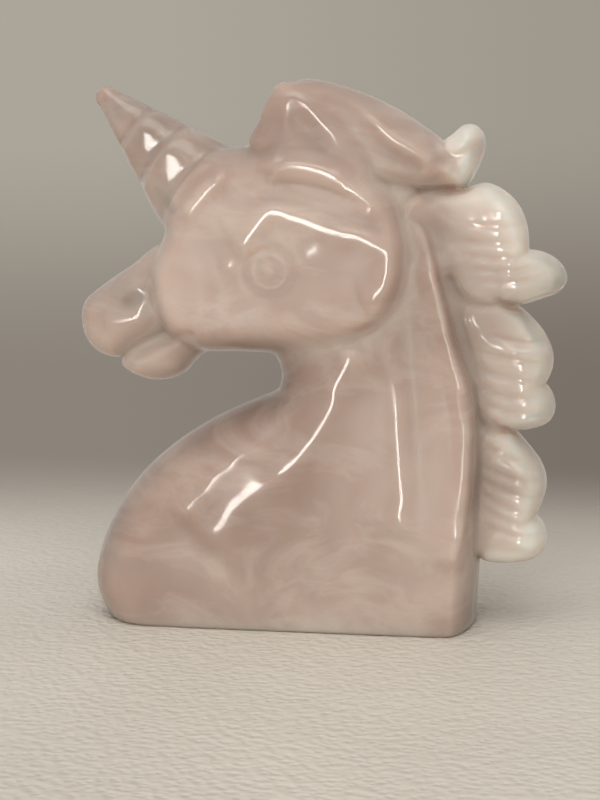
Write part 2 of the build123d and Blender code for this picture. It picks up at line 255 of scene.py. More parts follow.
middle_lock_shares = (
    (0.760, 0.640), (0.830, 0.635), (0.885, 0.600), (0.926, 0.571), (0.956, 0.540), (0.974, 0.500),
    (0.968, 0.462), (0.940, 0.425), (0.895, 0.385), (0.840, 0.366), (0.785, 0.375), (0.750, 0.440),
    (0.740, 0.530),
)
middle_tip_shares = (
    (0.905, 0.458), (0.950, 0.451), (0.972, 0.433), (0.980, 0.405), (0.971, 0.381), (0.945, 0.367),
    (0.900, 0.361), (0.858, 0.366), (0.845, 0.400), (0.865, 0.440),
)
lower_lock_shares = (
    (0.785, 0.430), (0.835, 0.420), (0.885, 0.375), (0.926, 0.335), (0.955, 0.300), (0.965, 0.265),
    (0.955, 0.225), (0.930, 0.185), (0.890, 0.150), (0.840, 0.125), (0.795, 0.135), (0.775, 0.210),
    (0.770, 0.310),
)
lower_tip_shares = (
    (0.895, 0.208), (0.940, 0.203), (0.960, 0.186), (0.967, 0.157), (0.955, 0.131), (0.925, 0.118),
    (0.880, 0.113), (0.838, 0.118), (0.822, 0.145), (0.850, 0.188),
)
neck_lock_shares = (
    (0.640, 0.735), (0.700, 0.735), (0.738, 0.620), (0.770, 0.510), (0.800, 0.425), (0.806, 0.340),
    (0.800, 0.220), (0.774, 0.100), (0.700, 0.080), (0.655, 0.110), (0.646, 0.200), (0.650, 0.300),
    (0.632, 0.420), (0.605, 0.560),
)


def share_x(share):
    """Millimetres from the origin, from a share of the length."""
    return (share - ORIGIN_SHARE) * LENGTH


def along_length(*stations):
    """A value given at length shares, and even between them."""
    shares, values = zip(*stations)
    return blurred(np.interp(X, share_x(np.array(shares)), values), 1.0)


# Main forms, as squares of their half widths
bust_half = across_height(0, 12.2, 68, 6.3)
head_half = across_height(39, 10.6, 71.6, 8.4)
bust = swell(depth_in(bust_shares), bust_half, along_length((0.55, 7.0), (0.75, 3.5)), dome=1.0)
lock_step = along_length((0.66, 1.5), (0.74, 0.15)) + 2.0 * ramp(-Z, -16.0, -7.0)
neck_lock = swell(depth_in(neck_lock_shares, bust_half), bust_half - lock_step, 1.2)
head = swell(depth_in(head_shares), head_half, along_length((0.2, 4.0), (0.45, 5.0), (0.6, 2.6)), dome=0.4)
side_lock = swell(depth_in(side_lock_shares, head_half), head_half + 0.15, 2.2)
muzzle = swell(depth_in(muzzle_shares), across_height(37.9, 7.0, 56, 5.5), 3.6)
chin = swell(depth_in(chin_shares), 6.0, 3.6)
crest = swell(depth_in(crest_shares), 6.6, 3.6)
crest_curl = swell(depth_in(crest_curl_shares), 4.2, 2.4)
mane_half = along_length((0.665, 6.8), (0.76, 4.6), (0.82, 4.2), (0.935, 4.3), (0.965, 3.5), (1.0, 2.2))
mane = swell(depth_in(upper_lock_shares), mane_half, 2.0)
for form_shares, blend in (
    (upper_tip_shares, 0.5),
    (middle_lock_shares, 0.3), (middle_tip_shares, 0.5),
    (lower_lock_shares, 0.3), (lower_tip_shares, 0.5),
):
    mane = join(mane, swell(depth_in(form_shares), mane_half, 2.0), blend)

# Horn: a cone with rings on its sides that bulge between sharp grooves, and curve towards the tip
horn_root = np.array([share_x(0.275), 0.775 * HEIGHT])
horn_lean = math.radians(43.5)
horn_length = 21.8
horn_root_radius, horn_tip_radius = 8.75, 1.7
horn_turns, horn_first_turn = 3.9, 0.23
horn_axis = np.array([-math.cos(horn_lean), math.sin(horn_lean)])
horn_along = (X - horn_root[0]) * horn_axis[0] + (Z - horn_root[1]) * horn_axis[1]
horn_off = (X - horn_root[0]) * horn_axis[1] - (Z - horn_root[1]) * horn_axis[0]
ring_place = (horn_along + 0.028 * horn_off**2 - 0.10 * horn_off) / horn_length
taper = np.clip(horn_along / horn_length, 0, 1)
horn_radius = horn_root_radius + (horn_tip_radius - horn_root_radius) * taper
ring_phase = np.clip(ring_place, 0, 1) * horn_turns + horn_first_turn
ring_bulge = np.abs(np.sin(math.pi * ring_phase)) ** 0.7
horn_radius = horn_radius + (ring_bulge - 0.75) * (0.22 - 0.12 * taper)
past_ends = np.maximum(horn_along - horn_length, 0) + np.maximum(-3 - horn_along, 0)
horn_slope = np.abs(horn_off / horn_radius) ** 2.6
horn = np.maximum(horn_radius**2 * (1 - horn_slope) - past_ends**2, -100.0)

# Ear, which stands beside the middle plane
ear = swell(depth_in(ear_shares), across_height(62, 3.0, 79, 1.6), 2.2)
ear_middle = across_height(62, 5.5, 79, 4.5)

# The stone but for its ears: each form joins those before it, with a crease of the given size
body = bust
for form, blend in (
    (neck_lock, 1.2), (mane, 0.9), (crest, 0.9), (crest_curl, 0.4), (head, 4.0), (chin, 0.9), (muzzle, 2.6),
    (side_lock, 0.8), (horn, 1.4),
):
    body = join(body, form, blend)
body_half = np.sqrt(np.maximum(body, 0))
ear_half = np.sqrt(np.maximum(ear, 0))


def new_face(half):
    """A face of the stone, with relief in millimetres, and polish from 0, satin, to 1, a full mirror."""
    return SimpleNamespace(half=half, relief=np.zeros(X.shape), polish=np.zeros(X.shape))


body_face = new_face(body_half)
ear_face = new_face(ear_middle + ear_half)
glassy = np.zeros(X.shape)


def line_on(face, shares):
    """A line on a face of the stone, through points read off in the photograph."""
    return smooth_line(on_face(place(shares), face.half), False)


def faded(along, ends):
    """From 0 at both ends of a line to 1 over the given shares of its length."""
    return ramp(along, 0, ends[0]) * ramp(1 - along, 0, ends[1])


def add_crest(shares, height, width, crown=1.0, ends=(0.12, 0.12), gloss=1.0, face=body_face):
    """A polished crest along a line, round over its crown, with hollow flanks."""
    where, distance, along, _ = nearest(line_on(face, shares), False, width * 5)
    fade = faded(along, ends)
    shape = np.exp(-(np.sqrt(distance**2 + crown**2) - crown) / width)
    face.relief[where] += height * shape * fade
    band = np.exp(-((distance / (0.45 * crown + 0.45)) ** 2))
    face.polish[where] = np.maximum(face.polish[where], gloss * band * fade)


def add_groove(shares, depth, width, ends=(0.1, 0.1), face=body_face):
    """A ground groove along a line."""
    where, distance, along, _ = nearest(line_on(face, shares), False, width * 4)
    face.relief[where] -= depth * np.exp(-((distance / width) ** 2)) * faded(along, ends)


def add_strands(*strands):
    """Grooves that part a lock into strands: each with its root, its end at the edge, and how far it sags."""
    for (ru, rv), (eu, ev), sag in strands:
        middle = ((ru + eu) / 2, (rv + ev) / 2 - sag)
        add_groove(((ru, rv), middle, (eu, ev)), 0.42, 0.34, ends=(0.25, 0.06))


def add_glassy(shares, radius, amount):
    """A place about a line where the stone is clear instead of milky."""
    where, distance, _, _ = nearest(line_on(body_face, shares), False, radius * 2.5)
    glassy[where] = np.maximum(glassy[where], amount * np.exp(-((distance / radius) ** 2)))


# Crests of the neck, from the throat to the mane
add_crest(
    ((0.563, 0.519), (0.539, 0.479), (0.516, 0.439), (0.510, 0.407), (0.495, 0.375), (0.472, 0.340),
     (0.446, 0.306), (0.416, 0.284), (0.381, 0.262), (0.352, 0.246)),
    1.0, 2.8, crown=0.8, ends=(0.1, 0.35),
)
add_crest(
    ((0.472, 0.340), (0.446, 0.306), (0.416, 0.284), (0.381, 0.262), (0.352, 0.246), (0.328, 0.229),
     (0.299, 0.205), (0.275, 0.170), (0.258, 0.152), (0.246, 0.136), (0.231, 0.117)),
    1.0, 3.0, crown=2.6, ends=(0.35, 0.15),
)
add_crest(
    ((0.466, 0.438), (0.446, 0.411), (0.401, 0.368), (0.369, 0.349), (0.346, 0.327), (0.313, 0.312),
     (0.293, 0.287), (0.266, 0.270), (0.240, 0.241), (0.217, 0.223), (0.190, 0.192), (0.176, 0.171)),
    0.7, 2.2, crown=0.5, ends=(0.2, 0.1),
)
add_crest(
    ((0.636, 0.494), (0.642, 0.452), (0.648, 0.389), (0.651, 0.325), (0.654, 0.273), (0.657, 0.231),
     (0.651, 0.199), (0.654, 0.183), (0.646, 0.151)),
    0.6, 1.8, crown=0.45, ends=(0.3, 0.1),
)
add_crest(
    ((0.708, 0.691), (0.715, 0.667), (0.718, 0.642), (0.732, 0.613), (0.743, 0.574), (0.751, 0.535),
     (0.762, 0.501), (0.773, 0.462), (0.786, 0.423), (0.793, 0.378), (0.792, 0.320), (0.788, 0.261),
     (0.781, 0.197), (0.770, 0.137), (0.759, 0.091)),
    1.5, 2.4, crown=0.7, ends=(0.06, 0.06),
)
add_groove(
    ((0.665, 0.62), (0.672, 0.50), (0.68, 0.38), (0.69, 0.28), (0.695, 0.19)),
    0.5, 1.6, ends=(0.2, 0.3),
)

# Rim about the eye and the cheek, and the lines of the face
add_crest(
    ((0.300, 0.685), (0.319, 0.696), (0.340, 0.718), (0.360, 0.742), (0.376, 0.757), (0.391, 0.762),
     (0.420, 0.752), (0.451, 0.744), (0.484, 0.732), (0.528, 0.721), (0.566, 0.716), (0.595, 0.703),
     (0.614, 0.696), (0.625, 0.687), (0.625, 0.669), (0.621, 0.648), (0.617, 0.628), (0.602, 0.609),
     (0.585, 0.598), (0.566, 0.590)),
    0.75, 1.9, crown=0.6, ends=(0.06, 0.06),
)
add_crest(((0.441, 0.677), (0.463, 0.687), (0.487, 0.697)), 0.15, 0.8, crown=0.3, ends=(0.3, 0.3), gloss=0.6)
add_crest(((0.284, 0.668), (0.290, 0.661), (0.296, 0.653)), 0.25, 0.7, crown=0.4, ends=(0.3, 0.3))
add_crest(((0.36, 0.58), (0.42, 0.575), (0.50, 0.58), (0.55, 0.59)), 0.2, 2.0, ends=(0.3, 0.3), gloss=0)
add_groove(
    ((0.205, 0.72), (0.24, 0.70), (0.27, 0.66), (0.275, 0.61), (0.255, 0.565)),
    0.25, 2.0, ends=(0.3, 0.3),
)

# Root of the horn
add_crest(
    ((0.206, 0.747), (0.216, 0.765), (0.240, 0.791), (0.273, 0.818), (0.292, 0.822)),
    0.5, 0.9, crown=0.35,
)

# Hair over the side of the head
add_crest(
    ((0.373, 0.826), (0.381, 0.841), (0.393, 0.850), (0.415, 0.853), (0.446, 0.848), (0.480, 0.839),
     (0.508, 0.829), (0.542, 0.819)),
    0.6, 1.6, crown=0.6,
)
add_crest(
    ((0.518, 0.813), (0.547, 0.802), (0.571, 0.787), (0.585, 0.774), (0.619, 0.758)),
    0.5, 1.4, crown=0.7, ends=(0.15, 0.3),
)
add_groove(
    ((0.345, 0.775), (0.38, 0.785), (0.42, 0.782), (0.48, 0.768), (0.55, 0.745), (0.62, 0.725)),
    0.4, 1.0,
)
add_groove(((0.40, 0.868), (0.46, 0.872), (0.52, 0.855), (0.575, 0.82), (0.62, 0.775)), 0.5, 0.7)

# Crest lock and its curl
add_crest(
    ((0.572, 0.950), (0.585, 0.933), (0.600, 0.919), (0.624, 0.900), (0.643, 0.888), (0.667, 0.879),
     (0.696, 0.867), (0.725, 0.855)),
    0.8, 2.0, crown=0.7, ends=(0.15, 0.1),
)
add_groove(
    ((0.48, 0.975), (0.53, 0.955), (0.57, 0.925), (0.60, 0.885), (0.64, 0.86), (0.70, 0.835)),
    0.6, 0.9,
)
add_groove(((0.55, 0.972), (0.61, 0.945), (0.66, 0.912), (0.70, 0.885), (0.735, 0.868)), 0.5, 0.8)
add_groove(((0.728, 0.868), (0.745, 0.858), (0.762, 0.862), (0.785, 0.872), (0.80, 0.888)), 0.7, 0.6)
add_crest(((0.757, 0.872), (0.775, 0.885), (0.797, 0.898)), 0.35, 0.8, crown=0.4, ends=(0.2, 0.2))
add_crest(
    ((0.734, 0.846), (0.767, 0.834), (0.792, 0.822), (0.789, 0.810)),
    0.5, 2.0, crown=2.0, ends=(0.2, 0.2),
)
add_crest(
    ((0.748, 0.807), (0.775, 0.803), (0.795, 0.810), (0.801, 0.828), (0.807, 0.845)),
    0.4, 1.0, crown=0.4,
)

# Muzzle: nostril and mouth
add_crest(
    ((0.031, 0.552), (0.067, 0.557), (0.093, 0.562), (0.103, 0.573), (0.103, 0.599), (0.107, 0.616),
     (0.117, 0.627)),
    0.5, 1.2, crown=0.6, ends=(0.1, 0.15),
)
add_groove(((0.062, 0.585), (0.085, 0.59), (0.098, 0.60), (0.10, 0.615)), 0.5, 0.9, ends=(0.3, 0.3))
add_groove(
    ((0.07, 0.468), (0.10, 0.487), (0.13, 0.505), (0.16, 0.52), (0.20, 0.532), (0.235, 0.533)),
    0.8, 0.7,
)
add_crest(((0.10, 0.498), (0.14, 0.522), (0.18, 0.54)), 0.25, 1.0, crown=0.5, ends=(0.2, 0.3), gloss=0)
add_crest(
    ((0.19, 0.44), (0.215, 0.47), (0.25, 0.49), (0.30, 0.50)),
    0.3, 1.4, crown=0.5, ends=(0.2, 0.3), gloss=0,
)

# Mane: each lock swells to a crest near its free edge, and grooves part it into strands
add_crest(
    ((0.856, 0.785), (0.854, 0.770), (0.850, 0.719), (0.861, 0.687), (0.874, 0.657), (0.885, 0.633),
     (0.901, 0.605)),
    1.0, 2.4, crown=1.5,
)
add_crest(
    ((0.903, 0.525), (0.903, 0.508), (0.903, 0.469), (0.908, 0.437), (0.914, 0.415), (0.912, 0.370)),
    1.1, 2.2, crown=1.5,
)
add_crest(
    ((0.914, 0.305), (0.905, 0.253), (0.902, 0.226), (0.901, 0.199), (0.907, 0.174), (0.904, 0.130)),
    1.1, 2.2, crown=1.5,
)
add_strands(
    ((0.76, 0.745), (0.925, 0.745), 0.008),
    ((0.75, 0.715), (0.93, 0.715), 0.008),
    ((0.755, 0.69), (0.93, 0.688), 0.008),
    ((0.77, 0.665), (0.935, 0.668), 0.010),
    ((0.78, 0.645), (0.955, 0.648), 0.010),
    ((0.79, 0.622), (0.955, 0.625), 0.010),
)
add_strands(
    ((0.80, 0.545), (0.965, 0.525), 0.004),
    ((0.79, 0.51), (0.98, 0.495), 0.006),
    ((0.79, 0.475), (0.975, 0.462), 0.008),
    ((0.80, 0.44), (0.955, 0.432), 0.010),
    ((0.81, 0.41), (0.96, 0.405), 0.012),
)
add_strands(
    ((0.815, 0.325), (0.955, 0.305), 0.004),
    ((0.80, 0.29), (0.965, 0.275), 0.004),
    ((0.80, 0.262), (0.965, 0.245), 0.006),
    ((0.805, 0.236), (0.955, 0.215), 0.008),
    ((0.81, 0.21), (0.945, 0.192), 0.008),
    ((0.82, 0.185), (0.955, 0.168), 0.008),
)
add_crest(
    ((0.693, 0.777), (0.723, 0.758), (0.751, 0.745), (0.784, 0.741), (0.816, 0.746), (0.838, 0.753)),
    0.4, 1.2, crown=0.4, ends=(0.15, 0.15),
)
add_crest(
    ((0.778, 0.575), (0.808, 0.551), (0.838, 0.529), (0.871, 0.515), (0.898, 0.503)),
    0.4, 1.2, crown=0.4,
)
add_crest(((0.849, 0.323), (0.877, 0.304), (0.898, 0.290), (0.912, 0.280)), 0.4, 1.2, crown=0.4)
add_crest(
    ((0.745, 0.707), (0.770, 0.687), (0.781, 0.661), (0.792, 0.651)),
    0.3, 1.0, crown=0.3, ends=(0.3, 0.3),
)
add_groove(((0.745, 0.655), (0.765, 0.62), (0.80, 0.597), (0.85, 0.594), (0.90, 0.588)), 1.1, 0.8)
add_groove(((0.79, 0.44), (0.80, 0.39), (0.835, 0.366), (0.88, 0.362)), 1.0, 0.8)
add_groove(
    ((0.69, 0.775), (0.715, 0.79), (0.745, 0.80), (0.785, 0.802), (0.82, 0.80)),
    0.8, 0.9, ends=(0.2, 0.05),
)
add_groove(
    ((0.745, 0.655), (0.765, 0.60), (0.785, 0.53), (0.80, 0.46), (0.81, 0.38), (0.808, 0.30), (0.80, 0.22),
     (0.79, 0.15)),
    0.9, 1.4,
)

# Eye: the faint ring left by a core drill, with a smaller ring inside
eye = on_face(place([(0.379, 0.650)]), body_half)[0]
eye_distance = np.hypot(X - eye[0], Z - eye[1])
for ring_radius, ring_depth, ring_width in ((3.3, 0.30, 0.45), (1.6, 0.28, 0.35)):
    body_face.relief -= ring_depth * np.exp(-(((eye_distance - ring_radius) / ring_width) ** 2))

# Rings of the horn, whose faces stand square to the side, and the polish all over horn and curl
ring_step = blurred(ring_phase - np.floor(ring_phase) - 0.5, 0.3)
off_ends = ramp(horn, 0.5, 6.0) * ramp(-horn_along, -21.0, -12.0) * ramp(horn_along, 1.0, 3.0)
body_face.relief += 1.7 * ring_step * off_ends
horn_polish = ramp(horn_along, 2.0, 5.0) * ramp(horn, 0.1, 2.0)
curl_polish = ramp(crest_curl, 0.0, 3.0) * ramp(crest_curl - crest, -2.0, 3.0)
body_face.polish = np.maximum(body_face.polish, np.maximum(horn_polish, curl_polish))

# Clear places: along the horn, in the nose and chin, in the curl and in the chest
add_glassy(((0.060, 0.950), (0.110, 0.960)), 2.2, 0.7)
add_glassy(((0.145, 0.920), (0.175, 0.870)), 3.0, 0.6)
add_glassy(((0.150, 0.800), (0.177, 0.768)), 2.4, 0.6)
add_glassy(((0.060, 0.615), (0.105, 0.600)), 4.6, 0.65)
add_glassy(((0.120, 0.480), (0.200, 0.495)), 3.6, 0.3)
add_glassy(((0.800, 0.870), (0.815, 0.885)), 2.4, 0.7)
add_glassy(((0.060, 0.105), (0.110, 0.085)), 4.0, 0.3)
add_glassy(((0.164, 0.068), (0.228, 0.050)), 3.0, 0.25)

# Inner ear: a hollow with a raised rim
add_crest(
    ((0.408, 0.935), (0.412, 0.948), (0.417, 0.963), (0.427, 0.972), (0.441, 0.969), (0.453, 0.959),
     (0.475, 0.936), (0.504, 0.911), (0.542, 0.881)),
    0.45, 1.1, crown=0.4, ends=(0.1, 0.2), face=ear_face,
)
add_groove(((0.43, 0.945), (0.445, 0.92), (0.47, 0.89), (0.50, 0.865)), 0.45, 1.3, face=ear_face)


def carved(form, half, relief, full_at):
    """Half width with its relief, which dies out at the free edges, and its square, below zero outside."""
    worked = half + blurred(relief, MAP_STEP) * ramp(half, 0.3, full_at)
    return worked, np.where(form > 0, np.maximum(worked, 0.02) ** 2, form)


worked, q_body = carved(body, body_half, body_face.relief, 3.0)
_, q_ear = carved(ear, ear_half, ear_face.relief, 1.6)

# Where the stone is thick, and where it was ground and left matt. Only mane and curl count as thin.
thickness = blurred(np.sqrt(np.maximum(body, 0.01)), 1.6)
thickness = np.maximum(thickness, 5.0 * ramp(-X, -share_x(0.82), -share_x(0.72)))
hollows = np.clip(blurred(worked, 1.8) - worked, 0, 1.2) * ramp(body_half, 1.0, 4.0)


def steepness(values):
    """How fast a map's values change, per millimetre."""
    return blurred(np.hypot(*np.gradient(values, MAP_STEP)), MAP_STEP)


body_steepness = steepness(q_body)
ear_steepness = steepness(q_ear)


def smooth_min(a, b, blend):
    """The lesser of two distances, rounded over blend millimetres where they meet."""
    h = np.maximum(blend - np.abs(a - b), 0) / blend
    return np.minimum(a, b) - h * h * blend / 4


def field(x, y, z):
    """About the distance in millimetres outside the stone's surface, and below zero inside."""
    y = np.abs(y)
    stone = (y**2 - sample(q_body, x, z)) / np.sqrt(4 * y**2 + sample(body_steepness, x, z) ** 2 + 1)
    off = y - sample(ear_middle, x, z)
    leaf = (off**2 - sample(q_ear, x, z)) / np.sqrt(4 * off**2 + sample(ear_steepness, x, z) ** 2 + 1)
    whole = smooth_min(stone, leaf, 1.2)
    return -smooth_min(-whole, z, 0.9)


def surface_net(values, origin, step):
    """Points and quads of the surface where values change sign on a grid."""
    cell_lists, point_lists, flip_lists = [], [], []
    for axis in range(3):
        low, high = [slice(None)] * 3, [slice(None)] * 3
        low[axis], high[axis] = slice(0, -1), slice(1, None)
        near, far = values[tuple(low)], values[tuple(high)]
        index = np.argwhere((near < 0) != (far < 0))
        a, b = near[tuple(index.T)], far[tuple(index.T)]
        points = index.astype(float)
        points[:, axis] += a / (a - b)
        cells = np.repeat(index[:, None, :], 4, axis=1)
        first, second = (axis + 1) % 3, (axis + 2) % 3
        for n, (df, ds) in enumerate(((-1, -1), (0, -1), (0, 0), (-1, 0))):
            cells[:, n, first] += df
            cells[:, n, second] += ds
        cell_lists.append(cells)
        point_lists.append(points)
        flip_lists.append(a >= 0)
    cells, points, flips = np.concatenate(cell_lists), np.concatenate(point_lists), np.concatenate(flip_lists)
    ids = np.ravel_multi_index(cells.reshape(-1, 3).T, values.shape)
    _, index = np.unique(ids, return_inverse=True)
    index = index.reshape(-1)
    counts = np.bincount(index)
    spread = np.repeat(points, 4, axis=0)
    vertices = np.column_stack([np.bincount(index, weights=spread[:, n]) / counts for n in range(3)])
    quads = index.reshape(-1, 4)
    quads[flips] = quads[flips][:, ::-1]
    return vertices * step + origin, quads


def gradient(points):
    """Slope of the field at points, in each direction."""
    parts = []
    for axis in range(3):
        step = np.zeros(3)
        step[axis] = SLOPE_STEP
        parts.append((field(*(points + step).T) - field(*(points - step).T)) / (2 * SLOPE_STEP))
    return np.column_stack(parts)


def settled(vertices, quads, rounds=4):
    """Vertices evened out along the surface and drawn onto it."""
    pairs = np.concatenate([quads[:, [n, (n + 1) % 4]] for n in range(4)])
    degree = np.bincount(pairs.ravel(), minlength=len(vertices))
    for _ in range(rounds):
        total = np.zeros_like(vertices)
        for n in range(3):
            total[:, n] = np.bincount(pairs[:, 0], weights=vertices[pairs[:, 1], n], minlength=len(vertices))
            total[:, n] += np.bincount(pairs[:, 1], weights=vertices[pairs[:, 0], n], minlength=len(vertices))
        vertices = vertices + 0.5 * (total / degree[:, None] - vertices)
        slope = gradient(vertices)
        length = np.maximum((slope**2).sum(axis=1), 0.05)
        move = field(*vertices.T)[:, None] * slope / length[:, None]
        vertices = vertices - np.clip(move, -0.4, 0.4)
    return vertices


def skin():
    """The carved stone as one mesh, which carries the maps that its material reads."""
    axes = [np.arange(low, high, SKIN_STEP) + OFF_PLANE for low, high in zip(SKIN_LOW, SKIN_HIGH)]
    values = field(*np.meshgrid(*axes, indexing="ij"))
    vertices, quads = surface_net(values, SKIN_LOW + OFF_PLANE, SKIN_STEP)
    vertices = settled(vertices, quads)
    vertices[:, 2] = np.maximum(vertices[:, 2], 0)
    mesh = bpy.data.meshes.new("carved_stone")
    mesh.vertices.add(len(vertices))
    mesh.vertices.foreach_set("co", (vertices * MM).ravel())
    mesh.loops.add(quads.size)
    mesh.loops.foreach_set("vertex_index", quads.ravel().astype(np.int32))
    mesh.polygons.add(len(quads))
    mesh.polygons.foreach_set("loop_start", np.arange(0, quads.size, 4, dtype=np.int32))
    mesh.polygons.foreach_set("use_smooth", np.ones(len(quads), dtype=bool))
    mesh.update(calc_edges=True)
    mesh.validate()
    x, z = vertices[:, 0], vertices[:, 2]
    on_ear = ramp(np.abs(vertices[:, 1]) ** 2 - sample(q_body, x, z), 0.5, 4.0)
    shine = sample(body_face.polish, x, z) * (1 - on_ear) + sample(ear_face.polish, x, z) * on_ear
    for name, values in (
        ("thickness", sample(thickness / HALF_WIDTH, x, z)),
        ("hollow", sample(hollows, x, z) * (1 - on_ear)),
        ("polish", shine),
        ("glassy", sample(glassy, x, z)),
    ):
        layer = mesh.attributes.new(name, "FLOAT", "POINT")
        layer.data.foreach_set("value", values.astype(np.float32))
    piece = bpy.data.objects.new("carved_stone", mesh)
    bpy.context.scene.collection.objects.link(piece)
    return piece


def new_material(name):
    """A material with no nodes yet, with its nodes and links."""
    material = bpy.data.materials.new(name)
    material.use_nodes = True
    material.node_tree.nodes.clear()
    return material, material.node_tree.nodes, material.node_tree.links


def node(nodes, kind, inputs=None, **settings):
    """A node with its settings and the plain values of its inputs."""
    made = nodes.new(kind)
    for key, value in settings.items():
        setattr(made, key, value)
    for key, value in (inputs or {}).items():
        made.inputs[key].default_value = value
    return made


def combine(nodes, links, operation, first, second, **settings):
    """What an operation of the Math node makes of two sockets."""
    made = node(nodes, "ShaderNodeMath", operation=operation, **settings)
    links.new(first, made.inputs[0])
    links.new(second, made.inputs[1])
    return made.outputs["Value"]


def colour_ramp(nodes, links, value, stops):
    """A colour that runs evenly through stops of position and colour, or of position and grey."""
    made = nodes.new("ShaderNodeValToRGB")
    stops = [(position, colour if isinstance(colour, tuple) else (colour,) * 3) for position, colour in stops]
    elements = made.color_ramp.elements
    elements[0].position, elements[0].color = stops[0][0], (*stops[0][1], 1)
    elements[1].position, elements[1].color = stops[-1][0], (*stops[-1][1], 1)
    for position, colour in stops[1:-1]:
        elements.new(position).color = (*colour, 1)
    links.new(value, made.inputs["Fac"])
    return made.outputs["Color"]


def map_range(nodes, links, value, low, high, to_low, to_high):
    """A smooth step from one value to another, as the socket's value goes from low to high."""
    made = node(nodes, "ShaderNodeMapRange", {
        "From Min": low, "From Max": high, "To Min": to_low, "To Max": to_high,
    }, interpolation_type="SMOOTHSTEP")
    links.new(value, made.inputs["Value"])
    return made.outputs["Result"]


def blend_colour(nodes, links, factor, base, over):
    """A colour that goes from base, a socket, to over, a plain colour, as factor rises."""
    made = node(nodes, "ShaderNodeMix", data_type="RGBA")
    made.inputs[7].default_value = (*over, 1)
    links.new(factor, made.inputs[0])
    links.new(base, made.inputs[6])
    return made.outputs[2]


def noise(nodes, links, place_of, scale, detail, roughness=0.5, distortion=0.0):
    """Cloudy noise, so many clouds to the metre."""
    made = node(nodes, "ShaderNodeTexNoise", {
        "Scale": scale, "Detail": detail, "Roughness": roughness, "Distortion": distortion,
    })
    links.new(place_of, made.inputs["Vector"])
    return made.outputs["Fac"]


def quartz():
    """Rose quartz: milky pink with clouds, clear in places, bright on its crests, pitted in the grooves."""
    material, nodes, links = new_material("rose_quartz")
    out = nodes.new("ShaderNodeOutputMaterial")
    shader = node(nodes, "ShaderNodeBsdfPrincipled", {
        "IOR": 1.544,
        "Subsurface Weight": 1.0,
        "Subsurface Scale": 0.006,
        "Subsurface Radius": (1.0, 0.66, 0.54),
    })
    links.new(shader.outputs["BSDF"], out.inputs["Surface"])
    place_of = nodes.new("ShaderNodeTexCoord").outputs["Object"]
    hollow, shine, thick, glass = (
        node(nodes, "ShaderNodeAttribute", attribute_name=name).outputs["Fac"]
        for name in ("hollow", "polish", "thickness", "glassy")
    )

    # Colour: pink clouds and paler veils; paler where thin, partly the thin stone's own paler tint and partly
    # a painted glow of light shining through it; greyer where clear, a painted shade of the dark backdrop
    # seen through the stone; dusty in the grooves
    clouds = noise(nodes, links, place_of, 38.0, 3.0, 0.5, 0.4)
    colour = colour_ramp(nodes, links, clouds, (
        (0.32, (0.46, 0.345, 0.293)), (0.5, (0.52, 0.408, 0.352)), (0.68, (0.59, 0.485, 0.425)),
    ))
    stretched = node(nodes, "ShaderNodeMapping", {"Rotation": (0.3, 0.5, 0.4), "Scale": (1.0, 0.6, 1.8)})
    links.new(place_of, stretched.inputs["Vector"])
    veil = noise(nodes, links, stretched.outputs["Vector"], 60.0, 5.0, 0.6, 0.8)
    veil = colour_ramp(nodes, links, veil, ((0.46, 0.0), (0.56, 0.30), (0.66, 0.0)))
    colour = blend_colour(nodes, links, veil, colour, (0.72, 0.62, 0.55))
    # Painted glow: near-white where the stone is thin, partly its own paler tint and partly light shining
    # through it
    thin_tint_and_glow = map_range(nodes, links, thick, 0.42, 0.24, 0.0, 1.0)
    colour = blend_colour(nodes, links, thin_tint_and_glow, colour, (0.95, 0.87, 0.79))
    # Painted shade: grey in the clear places, for the dark backdrop seen through the stone
    see_through_shade = map_range(nodes, links, glass, 0.05, 0.9, 0.0, 0.6)
    colour = blend_colour(nodes, links, see_through_shade, colour, (0.50, 0.46, 0.42))
    dusty = map_range(nodes, links, hollow, 0.10, 0.55, 0.0, 0.55)
    colour = blend_colour(nodes, links, dusty, colour, (0.66, 0.56, 0.48))
    links.new(colour, shader.inputs["Base Color"])

    # Clearness: more where the stone is thin, and most in the clear places
    clear = colour_ramp(nodes, links, thick, ((0.15, 0.55), (0.40, 0.42), (0.80, 0.22)))
    patchy = map_range(nodes, links, clouds, 0.35, 0.65, 1.25, 0.75)
    clear = combine(nodes, links, "MULTIPLY", clear, patchy, use_clamp=True)
    clear = combine(nodes, links, "MAXIMUM", clear, map_range(nodes, links, glass, 0.05, 0.9, 0.0, 0.6))
    links.new(clear, shader.inputs["Transmission Weight"])

    # Polish: the crests are smoother and mirror more than the broad sides
    scuffs = noise(nodes, links, place_of, 320.0, 5.0, 0.6)
    satin = map_range(nodes, links, scuffs, 0.35, 0.75, 0.22, 0.26)
    polished = map_range(nodes, links, shine, 0.1, 0.8, 1.0, 0.45)
    links.new(combine(nodes, links, "MULTIPLY", satin, polished), shader.inputs["Roughness"])
    mirror = colour_ramp(nodes, links, shine, ((0.0, 0.10), (0.75, 1.0)))
    links.new(mirror, shader.inputs["Specular Tint"])

    # Pits that the wheel left in the grooves
    frost = map_range(nodes, links, hollow, 0.10, 0.55, 0.0, 1.0)
    grain = combine(nodes, links, "MULTIPLY", noise(nodes, links, place_of, 1500.0, 3.0, 0.7), frost)
    bump = node(nodes, "ShaderNodeBump", {"Strength": 0.35, "Distance": 0.0003})
    links.new(grain, bump.inputs["Height"])
    links.new(bump.outputs["Normal"], shader.inputs["Normal"])
    return material


stone = skin()
stone.data.materials.append(quartz())
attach(stone, "root")
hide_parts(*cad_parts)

# Floor: pale leather-like sheet, which fades into the backdrop behind the figure and far from it
FLOOR_HALF = 0.5
floor_mesh = bpy.data.meshes.new("floor")
corners = [(x * FLOOR_HALF, y * FLOOR_HALF, 0) for x, y in ((-1, -1), (1, -1), (1, 1), (-1, 1))]
floor_mesh.from_pydata(corners, [], [(0, 1, 2, 3)])
floor = bpy.data.objects.new("floor", floor_mesh)
bpy.context.scene.collection.objects.link(floor)


